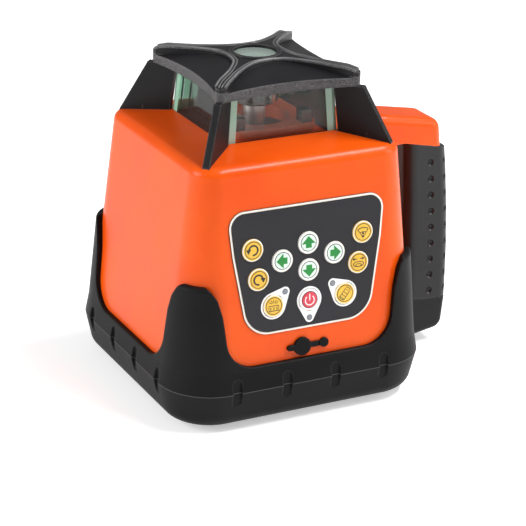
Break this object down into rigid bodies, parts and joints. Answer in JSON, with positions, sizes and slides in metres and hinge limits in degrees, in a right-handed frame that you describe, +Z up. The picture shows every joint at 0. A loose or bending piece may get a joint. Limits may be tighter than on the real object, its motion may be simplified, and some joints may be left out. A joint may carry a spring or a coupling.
{
  "type": "rotating laser level",
  "caption": "Surveyor's rotary laser level: orange tapered housing with a glazed rotor tower, black cap, rubber boot, membrane keypad and side carrying handle.",
  "frame": {"origin": "centre of the tripod thread's mouth, on the axis of rotation and in the plane that the feet stand on", "axes": "+Z up along the axis of rotation, -Y towards the keypad, +X towards the carrying handle"},
  "size_m": [0.2198, 0.169, 0.2032],
  "materials": {
    "orange_plastic": "satin orange moulding with a fine grain",
    "charcoal_rubber": "matt moulded rubber",
    "black_plastic": "fine-grained black moulding",
    "charcoal_plastic": "matt charcoal moulding",
    "glossy_black": "polished black",
    "clear_glass": "clear float glass with green edges",
    "prism_glass": "coated optical glass",
    "keypad_film": "printed membrane film",
    "key_white": "satin white keys",
    "key_gold": "satin gold keys",
    "key_red": "satin crimson key",
    "led_clear": "clear lens",
    "brass": "machined brass",
    "steel": "zinc-plated steel",
    "aluminium": "machined aluminium",
    "cast_metal": "die-cast frame, painted",
    "board_green": "circuit board with solder mask",
    "cell_wrap": "plastic-wrapped cells",
    "belt_rubber": "round black belt"
  },
  "bodies": {
    "body": {"upper_housing": "orange_plastic", "base_plate": "black_plastic", "base_feet": "charcoal_rubber", "case_screws": "steel", "tripod_insert": "brass", "rubber_boot": "charcoal_rubber", "corner_fins": "charcoal_plastic", "small_screws": "steel", "window_panes": "clear_glass", "window_seal": "charcoal_rubber", "top_cap": "black_plastic", "up_window": "clear_glass", "ir_receivers": "glossy_black", "handle_frame": "orange_plastic", "handle_foot": "black_plastic", "handle_grip": "charcoal_rubber", "keypad_panel": "keypad_film", "keypad_board": "board_green", "status_leds": "led_clear", "dc_jack": "black_plastic", "jack_cap_anchor": "charcoal_rubber", "battery_hinge_pin": "steel", "battery_tray": "black_plastic", "battery_cells": "cell_wrap", "chassis": "cast_metal", "pitch_pins": "steel", "pitch_motor": "steel", "main_board": "board_green"},
    "gimbal": {"gimbal_ring": "aluminium", "roll_pins": "steel", "roll_motor": "steel"},
    "pitch_screw": {"pitch_screw": "steel"},
    "pitch_nut": {"pitch_nut": "brass"},
    "roll_screw": {"roll_screw": "steel"},
    "roll_nut": {"roll_nut": "brass"},
    "spindle": {"spindle_housing": "aluminium", "bearings": "steel", "laser_module": "brass", "level_sensors": "steel", "drive_motor": "steel", "drive_belt": "belt_rubber"},
    "rotor": {"rotor_spindle": "aluminium", "rotor_head": "glossy_black", "pentaprism": "prism_glass", "rotor_pulley": "aluminium"},
    "drive_shaft": {"motor_pulley": "brass"},
    "battery_door": {"battery_door": "orange_plastic"},
    "battery_knob": {"battery_knob": "black_plastic"},
    "jack_cap": {"jack_cap": "charcoal_rubber"},
    "key_turn_left": {"key_turn_left": "key_gold"},
    "key_scan": {"key_scan": "key_gold"},
    "key_turn_right": {"key_turn_right": "key_gold"},
    "key_speed": {"key_speed": "key_gold"},
    "key_alarm": {"key_alarm": "key_gold"},
    "key_tilt": {"key_tilt": "key_gold"},
    "key_left": {"key_left": "key_white"},
    "key_right": {"key_right": "key_white"},
    "key_up": {"key_up": "key_white"},
    "key_down": {"key_down": "key_white"},
    "key_power": {"key_power": "key_red"}
  },
  "joints": [
    {"name": "pitch_tilt", "type": "hinge", "parent": "body", "child": "gimbal", "pos_m": [0, 0, 0.12], "axis": [1, 0, 0], "range_deg": [-5, 5]},
    {"name": "roll_tilt", "type": "hinge", "parent": "gimbal", "child": "spindle", "pos_m": [0, 0, 0.12], "axis": [0, 1, 0], "range_deg": [-5, 5]},
    {"name": "rotor_spin", "type": "hinge", "parent": "spindle", "child": "rotor", "pos_m": [0, 0, 0.16], "axis": [0, 0, 1], "continuous": true},
    {"name": "motor_spin", "type": "hinge", "parent": "spindle", "child": "drive_shaft", "pos_m": [0, 0.021, 0.09], "axis": [0, 0, 1], "continuous": true},
    {"name": "pitch_nut_slide", "type": "slide", "parent": "body", "child": "pitch_nut", "axis": [0, 0, 1], "range_m": [-0.0035, 0.0035]},
    {"name": "pitch_screw_spin", "type": "hinge", "parent": "body", "child": "pitch_screw", "pos_m": [0, -0.038, 0.11], "axis": [0, 0, 1], "range_deg": [-1200, 1200]},
    {"name": "roll_nut_slide", "type": "slide", "parent": "gimbal", "child": "roll_nut", "axis": [0, 0, 1], "range_m": [-0.0024, 0.0024]},
    {"name": "roll_screw_spin", "type": "hinge", "parent": "gimbal", "child": "roll_screw", "pos_m": [0.026, -0.026, 0.12], "axis": [0, 0, 1], "range_deg": [-820, 820]},
    {"name": "key_turn_left_press", "type": "slide", "parent": "body", "child": "key_turn_left", "axis": [0, 0.9939, -0.1103], "range_m": [0, 0.0005], "stiffness_N_per_m": 600, "springref_m": -0.001},
    {"name": "key_scan_press", "type": "slide", "parent": "body", "child": "key_scan", "axis": [0, 0.9939, -0.1103], "range_m": [0, 0.0005], "stiffness_N_per_m": 600, "springref_m": -0.001},
    {"name": "key_turn_right_press", "type": "slide", "parent": "body", "child": "key_turn_right", "axis": [0, 0.9939, -0.1103], "range_m": [0, 0.0005], "stiffness_N_per_m": 600, "springref_m": -0.001},
    {"name": "key_speed_press", "type": "slide", "parent": "body", "child": "key_speed", "axis": [0, 0.9939, -0.1103], "range_m": [0, 0.0005], "stiffness_N_per_m": 600, "springref_m": -0.001},
    {"name": "key_alarm_press", "type": "slide", "parent": "body", "child": "key_alarm", "axis": [0, 0.9939, -0.1103], "range_m": [0, 0.0005], "stiffness_N_per_m": 600, "springref_m": -0.001},
    {"name": "key_tilt_press", "type": "slide", "parent": "body", "child": "key_tilt", "axis": [0, 0.9939, -0.1103], "range_m": [0, 0.0005], "stiffness_N_per_m": 600, "springref_m": -0.001},
    {"name": "key_left_press", "type": "slide", "parent": "body", "child": "key_left", "axis": [0, 0.9939, -0.1103], "range_m": [0, 0.0005], "stiffness_N_per_m": 600, "springref_m": -0.001},
    {"name": "key_right_press", "type": "slide", "parent": "body", "child": "key_right", "axis": [0, 0.9939, -0.1103], "range_m": [0, 0.0005], "stiffness_N_per_m": 600, "springref_m": -0.001},
    {"name": "key_up_press", "type": "slide", "parent": "body", "child": "key_up", "axis": [0, 0.9939, -0.1103], "range_m": [0, 0.0005], "stiffness_N_per_m": 600, "springref_m": -0.001},
    {"name": "key_down_press", "type": "slide", "parent": "body", "child": "key_down", "axis": [0, 0.9939, -0.1103], "range_m": [0, 0.0005], "stiffness_N_per_m": 600, "springref_m": -0.001},
    {"name": "key_power_press", "type": "slide", "parent": "body", "child": "key_power", "axis": [0, 0.9939, -0.1103], "range_m": [0, 0.0005], "stiffness_N_per_m": 600, "springref_m": -0.001},
    {"name": "battery_door_swing", "type": "hinge", "parent": "body", "child": "battery_door", "pos_m": [0, 0.07646, 0.05], "axis": [-1, 0, 0], "range_deg": [0, 95]},
    {"name": "battery_knob_turn", "type": "hinge", "parent": "battery_door", "child": "battery_knob", "pos_m": [0, 0.07341, 0.092], "axis": [0, 0.9939, 0.1103], "range_deg": [0, 90]},
    {"name": "jack_cap_fold", "type": "hinge", "parent": "body", "child": "jack_cap", "pos_m": [0.0053, -0.07918, 0.04678], "axis": [0, 0.1103, 0.9939], "range_deg": [0, 90]}
  ],
  "couplings": [
    {"joint": "motor_spin", "follows": "rotor_spin", "ratio": 2.1111},
    {"joint": "pitch_nut_slide", "follows": "pitch_tilt", "m_per_rad": -0.038},
    {"joint": "pitch_screw_spin", "follows": "pitch_tilt", "ratio": 238.76},
    {"joint": "roll_nut_slide", "follows": "roll_tilt", "m_per_rad": -0.026},
    {"joint": "roll_screw_spin", "follows": "roll_tilt", "ratio": 163.36}
  ]
}
